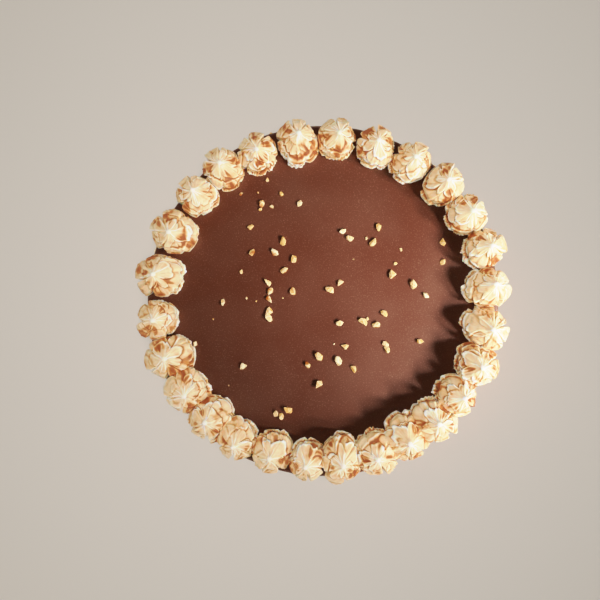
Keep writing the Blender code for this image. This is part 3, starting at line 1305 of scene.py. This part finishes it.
@dataclass
class NutScatter:
    """The chopped nuts: sprinkled by hand on the top and pressed on to the side."""

    cake_radius: float = 127 * MM
    cake_height: float = 45 * MM
    top_large: tuple[float, float] = (6.0 * MM, 7.2 * MM)
    top_usual: tuple[float, float] = (4.8 * MM, 5.8 * MM)
    top_small: tuple[float, float] = (2.4 * MM, 3.8 * MM)
    large_rows_mm: tuple[tuple[int, tuple[int, ...]], ...] = (
        (43, (-29,)), (42, (36,)), (35, (-35,)), (19, (50,)), (12, (65,)), (8, (5,)),
        (-8, (-39,)), (-12, (-39,)), (-15, (29,)), (-40, (-3,)), (-43, (11,)), (-60, (-3,)),
        (-78, (-25,)),
    )  # fmt: skip
    usual_rows_mm: tuple[tuple[int, tuple[int, ...]], ...] = (
        (70, (-44, -17)), (53, (-52, 40)), (50, (14,)), (45, (19,)), (42, (86,)), (35, (-51,)),
        (30, (-21,)), (28, (86,)), (22, (-28,)), (13, (-40, 12)), (7, (-38, -22)), (4, (74,)),
        (1, (-39,)), (-1, (-72,)), (-9, (44,)), (-16, (12,)), (-17, (38,)), (-29, (70,)),
        (-31, (45,)), (-33, (16,)), (-35, (46,)), (-46, (-11,)), (-47, (-58,)), (-49, (22,)),
        (-81, (-34,)), (-83, (-30,)),
    )  # fmt: skip
    small_rows_mm: tuple[tuple[int, tuple[int, ...]], ...] = (
        (87, (-40,)), (77, (-59, -30)), (68, (-37,)), (66, (-45,)), (45, (31,)), (37, (56,)),
        (27, (52,)), (21, (-59,)), (-13, (32,)),
    )  # fmt: skip
    crumbs_mm: tuple[tuple[float, float, float], ...] = (
        (-91, 53, 5.0), (-92, -31, 4.6), (-55, 2, 1.8), (-48, 0, 1.6), (-47, 78, 1.6),
        (-29, 2, 1.4), (22, 30, 1.5), (8, -31, 1.5), (-68, -61, 1.5), (-79, -13, 1.5),
    )  # fmt: skip
    first_crumb: int = 1000
    side_strewn: int = 720
    side_modelled: int = 86
    side_lengths: tuple[float, float] = (2.2 * MM, 5.6 * MM)
    usual_side: float = 3.5 * MM
    side_band: tuple[float, float] = (4 * MM, 41.5 * MM)
    side_spacing: float = 1.6
    bare_side: float = 0.45
    width_share: float = 0.72
    thickness_share: float = 0.4
    sunk_share: float = 0.2
    tilt: float = 0.2
    top_break: tuple[int, float] = (14, 0.05)
    side_break: tuple[int, float] = (11, 0.0)
    corner_reaches: tuple[float, float] = (0.42, 0.54)
    flattest_edge: float = math.radians(14)
    broad_face: float = 0.04
    golden_heart: float = 0.4
    tones: tuple[float, float] = (0.0, 0.55)
    skinned: float = 0.35
    skin_depth: float = 0.22
    seed: int = 41

    def top_places(self) -> Iterator[tuple[float, Matrix]]:
        """Lays out the nuts on the top.

        Yields:
            The length and the resting place of each nut.
        """
        dice = random.Random(self.seed)
        sizes = (
            (self.top_large, self.large_rows_mm),
            (self.top_usual, self.usual_rows_mm),
            (self.top_small, self.small_rows_mm),
        )
        for lengths, rows in sizes:
            for up, across in rows:
                for right in across:
                    place = Matrix.Translation((right * MM, up * MM, self.cake_height))
                    yield dice.uniform(*lengths), place

    def crumb_places(self) -> Iterator[tuple[float, Matrix]]:
        """Yields the length and the resting place of each small crumb on the top."""
        for right, up, length in self.crumbs_mm:
            yield length * MM, Matrix.Translation((right * MM, up * MM, self.cake_height))

    def side_places(self) -> Iterator[tuple[float, Matrix]]:
        """Lays out the nuts on the side, the ones that the solids have first.

        Yields:
            The length and the resting place of each nut.
        """
        dice = random.Random(self.seed + 1)
        strewn = []
        while len(strewn) < self.side_strewn:
            bearing = dice.uniform(0, math.tau)
            height = dice.uniform(*self.side_band)
            length = dice.triangular(*self.side_lengths, self.usual_side)
            cover = 1 - self.bare_side * (1 + math.cos(bearing)) / 2
            if dice.random() < cover:
                strewn.append((length, bearing, height))
        chosen = []
        others = []
        for nut in sorted(strewn, reverse=True):
            if len(chosen) < self.side_modelled and self.is_clear(nut, chosen):
                chosen.append(nut)
            else:
                others.append(nut)
        upright = Matrix.Rotation(math.pi / 2, 4, "Y")
        for length, bearing, height in chosen + others:
            outwards = Matrix.Translation((self.cake_radius, 0, height)) @ upright
            yield length, Matrix.Rotation(bearing, 4, "Z") @ outwards

    def is_clear(self, nut: tuple[float, float, float], others: list) -> bool:
        """Tells whether a nut on the side keeps its distance from the others.

        Args:
            nut: Length, bearing and height of the nut.
            others: The same of each other nut.

        Returns:
            True if it does.
        """
        length, bearing, height = nut
        for _, other_bearing, other_height in others:
            turn = abs((bearing - other_bearing + math.pi) % math.tau - math.pi)
            apart = math.hypot(turn * self.cake_radius, height - other_height)
            if apart < self.side_spacing * length:
                return False
        return True

    def chip(
        self, length: float, surface: Matrix, number: int, corners: int, bevel: float
    ) -> bpy.types.Mesh:
        """Breaks one chip off a nut and lays it down.

        Args:
            length: Length of the chip.
            surface: Where the chip rests, with +Z out of the surface.
            number: Number of the nut, which seeds its form.
            corners: How many corners the break leaves, at most.
            bevel: Width of the worn edges as a share of the length, or 0 for sharp ones.

        Returns:
            The chip's mesh, with its tone and its skin.
        """
        dice = random.Random(self.seed * 1000 + number)
        turn = dice.uniform(0, math.tau)
        tilts = [dice.uniform(-self.tilt, self.tilt) for _ in range(2)]
        tilt = Euler((*tilts, turn))
        bm = bmesh.new()
        for _ in range(corners):
            bm.verts.new(self.any_way(dice) * dice.uniform(*self.corner_reaches))
        hull = bmesh.ops.convex_hull(bm, input=bm.verts)
        inside = [e for e in hull["geom_interior"] if isinstance(e, bmesh.types.BMVert)]
        bmesh.ops.delete(bm, geom=inside, context="VERTS")
        bmesh.ops.dissolve_limit(
            bm, angle_limit=self.flattest_edge, verts=bm.verts, edges=bm.edges
        )
        broad = []
        if bevel:
            bmesh.ops.bevel(
                bm,
                geom=bm.edges,
                offset=bevel,
                affect="EDGES",
                segments=2,
                profile=0.5,
                material=-1,
                clamp_overlap=True,
            )
            broad = [face for face in bm.faces if face.calc_area() > self.broad_face]
            bmesh.ops.inset_individual(bm, faces=broad, thickness=bevel, use_even_offset=True)
        low = Vector(min(v.co[i] for v in bm.verts) for i in range(3))
        high = Vector(max(v.co[i] for v in bm.verts) for i in range(3))
        thickness = length * self.thickness_share
        size = Vector((length, length * self.width_share, thickness))
        for vertex in bm.verts:
            share = [(vertex.co[i] - low[i]) / (high[i] - low[i]) - 0.5 for i in range(3)]
            vertex.co = Vector(share[i] * size[i] for i in range(3))
        rise = Matrix.Translation((0, 0, thickness * (0.5 - self.sunk_share)))
        bm.transform(surface @ rise @ tilt.to_matrix().to_4x4())
        bmesh.ops.recalc_face_normals(bm, faces=bm.faces)
        bm.verts.index_update()
        golden = [vertex.index for face in broad for vertex in face.verts]
        mesh = make_mesh("chip", bm)
        tones = np.full(len(mesh.vertices), dice.uniform(*self.tones), np.float32)
        tones[golden] += self.golden_heart
        mark(mesh, TONE, tones)
        side = self.any_way(dice)
        edge = self.skin_depth * length if dice.random() < self.skinned else math.inf
        middle = surface.translation
        covered = [(vertex.co - middle).dot(side) > edge for vertex in mesh.vertices]
        mark(mesh, SKIN, np.array(covered))
        return mesh

    @staticmethod
    def any_way(dice: random.Random) -> Vector:
        """Draws a direction that is as likely as any other."""
        return Vector([dice.gauss(0, 1) for _ in range(3)]).normalized()

    def build(self, place: NutPlace, nut: bpy.types.Material) -> bpy.types.Object:
        """Builds the nuts of the top or of the side as one joined piece.

        Args:
            place: Which nuts are built.
            nut: Their finish.

        Returns:
            The finished piece.
        """
        on_top = list(self.top_places())
        if place is NutPlace.TOP:
            crumbs = enumerate(self.crumb_places(), self.first_crumb)
            layout, broken = [*enumerate(on_top), *crumbs], self.top_break
        else:
            layout, broken = enumerate(self.side_places(), len(on_top)), self.side_break
        whole = bmesh.new()
        for number, (length, surface) in layout:
            chip = self.chip(length, surface, number, *broken)
            whole.from_mesh(chip)
            bpy.data.meshes.remove(chip)
        return finish_piece(make_mesh(place.value, whole), nut, "chopped_nuts", CAKE_NODE)


@dataclass
class Studio:
    """The studio: a pale floor, soft light from the right and a camera straight above.

    The half view is half the picture's width at a distance of 1.
    """

    camera_place: tuple[float, float, float] = (-16.6 * MM, 0.7 * MM, 365.4 * MM)
    half_view: float = 300 / 445
    sensor: float = 36.0
    nearest: float = 0.01
    floor_size: float = 4.0
    floor_squares: int = 8
    floor_drop: float = 0.2 * MM
    aim_height: float = 40 * MM
    key_places: tuple[tuple[float, ...], ...] = ((0.81, -0.57, 0.53), (0.97, -0.26, 0.53))
    key_aim: tuple[float, float, float] = (0.15, -0.03, 0.045)
    key_radius: float = 0.13
    key_cone: float = math.radians(14.0)
    key_power: float = 106.0
    key_colour: str = "FFF6EA"
    top_height: float = 0.8
    top_size: tuple[float, float] = (0.3, 0.3)
    top_power: float = 5.3
    top_colour: str = "FFF8F0"
    fill_distance: float = 1.0
    fill_height: float = 0.24
    fill_size: tuple[float, float] = (1.1, 0.4)
    fill_powers: tuple[tuple[float, float], ...] = ((165, 0.7), (95, 1.2), (-120, 1.8))
    fill_colour: str = "FFEBD4"
    sky: float = 0.075
    sky_colour: str = "F4DCC4"
    brightest: float = 4.0
    tone_curve: tuple[tuple[float, float], ...] = (
        (0.0, 0.0), (0.02, 0.07), (0.04, 0.155), (0.08, 0.33), (0.15, 0.55), (0.28, 0.855),
        (0.42, 0.95), (1.0, 1.0),
    )  # fmt: skip

    def build_camera(self) -> None:
        """Places the camera above the cake, looking straight down."""
        data = bpy.data.cameras.new("camera")
        data.sensor_width = self.sensor
        data.lens = self.sensor / 2 / self.half_view
        data.clip_start = self.nearest
        camera = bpy.data.objects.new("camera", data)
        camera.location = self.camera_place
        bpy.context.scene.collection.objects.link(camera)
        bpy.context.scene.camera = camera

    @staticmethod
    def hang(light: bpy.types.Light, place: Vector, target: Vector) -> bpy.types.Object:
        """Hangs a light up and points it.

        Args:
            light: The light.
            place: Where it hangs.
            target: What it points at.

        Returns:
            The light's object.
        """
        lamp = bpy.data.objects.new(light.name, light)
        lamp.location = place
        lamp.rotation_mode = "QUATERNION"
        lamp.rotation_quaternion = (target - place).to_track_quat("-Z", "Y")
        bpy.context.scene.collection.objects.link(lamp)
        return lamp

    def add_box(
        self, name: str, place: Vector, size: tuple[float, float], power: float, colour: str
    ) -> bpy.types.Object:
        """Adds a soft box that points at the cake.

        Args:
            name: Name of the light.
            place: Where it hangs.
            size: Width and height of its face.
            power: Power in watts.
            colour: Colour as an sRGB hex code.

        Returns:
            The light's object.
        """
        light = bpy.data.lights.new(name, "AREA")
        light.shape = "RECTANGLE"
        light.size, light.size_y = size
        light.energy = power
        light.color = linear(colour)[:3]
        return self.hang(light, place, Vector((0, 0, self.aim_height)))

    def add_key(self, place: tuple[float, ...]) -> bpy.types.Object:
        """Adds a key light, whose soft-edged beam falls off towards the left and the bottom.

        Args:
            place: Where it hangs.

        Returns:
            The light's object.
        """
        light = bpy.data.lights.new("key", "SPOT")
        light.energy = self.key_power
        light.color = linear(self.key_colour)[:3]
        light.shadow_soft_size = self.key_radius
        light.spot_size = self.key_cone
        light.spot_blend = 1.0
        return self.hang(light, Vector(place), Vector(self.key_aim))

    def aim(self, lamp: bpy.types.Object, pieces: list[bpy.types.Object]) -> None:
        """Flags a light off from everything but the given pieces.

        Args:
            lamp: The light's object.
            pieces: What it may light.
        """
        lit = bpy.data.collections.new(f"lit_by_{lamp.name}")
        for piece in pieces:
            lit.objects.link(piece)
        lamp.light_linking.receiver_collection = lit

    def build_lights(
        self, cake: bpy.types.Object, toppings: list[bpy.types.Object], floor: bpy.types.Object
    ) -> None:
        """Sets up two key lights, low soft boxes round the cake, a top light and an even sky.

        The keys stay off the floor, which stays plain, and the top light off the glaze, which
        would mirror it to the camera as a grey veil.

        Args:
            cake: The glazed cake.
            toppings: Cream and nuts.
            floor: The floor.
        """
        for place in self.key_places:
            self.aim(self.add_key(place), [cake, *toppings])
        above = Vector((0, 0, self.top_height))
        top = self.add_box("top", above, self.top_size, self.top_power, self.top_colour)
        self.aim(top, [floor, *toppings])
        for degrees, power in self.fill_powers:
            bearing = math.radians(degrees)
            place = Vector((math.cos(bearing), math.sin(bearing), 0)) * self.fill_distance
            place.z = self.fill_height
            self.add_box(f"fill_{degrees}", place, self.fill_size, power, self.fill_colour)
        world = bpy.data.worlds.new("studio")
        world.use_nodes = True
        tree = world.node_tree
        tree.nodes.clear()
        sky = add_node(
            tree, "ShaderNodeBackground", {"Color": linear(self.sky_colour), "Strength": self.sky}
        )
        add_node(tree, "ShaderNodeOutputWorld", {"Surface": sky.outputs["Background"]})
        bpy.context.scene.world = world

    def soften_highlights(self) -> None:
        """Rolls the highlights off as a photo does, and leaves the dark tones as they are."""
        view = bpy.context.scene.view_settings
        view.view_transform = "Standard"
        view.use_curve_mapping = True
        mapping = view.curve_mapping
        mapping.white_level = (self.brightest,) * 3
        curve = mapping.curves[3]
        for place, value in self.tone_curve[1:-1]:
            curve.points.new(place, value)
        mapping.update()

    def build_floor(self, paper: bpy.types.Material) -> bpy.types.Object:
        """Lays the floor under the cake.

        Args:
            paper: Finish of the floor.

        Returns:
            The floor's object.
        """
        bm = bmesh.new()
        squares = self.floor_squares
        bmesh.ops.create_grid(
            bm, x_segments=squares, y_segments=squares, size=self.floor_size / 2
        )
        bmesh.ops.translate(bm, vec=(0, 0, -self.floor_drop), verts=bm.verts)
        mesh = make_mesh("floor", bm)
        mesh.materials.append(paper)
        floor = bpy.data.objects.new("floor", mesh)
        bpy.context.scene.collection.objects.link(floor)
        return floor


def main() -> None:
    """Builds the dressed torte around the frame, piece by piece."""
    logging.basicConfig(level=logging.INFO, format="%(name)s: %(message)s")
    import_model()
    studio = Studio()
    studio.build_camera()
    cake = GlazedCake().build(ChocolateGlaze().build())
    toppings = RosetteRing().build(WhippedCream().build())
    nut = ChoppedNut().build()
    scatter = NutScatter()
    toppings += [scatter.build(place, nut) for place in NutPlace]
    floor = studio.build_floor(StudioPaper().build())
    studio.build_lights(cake, toppings, floor)
    studio.soften_highlights()


if __name__ == "__main__":
    main()
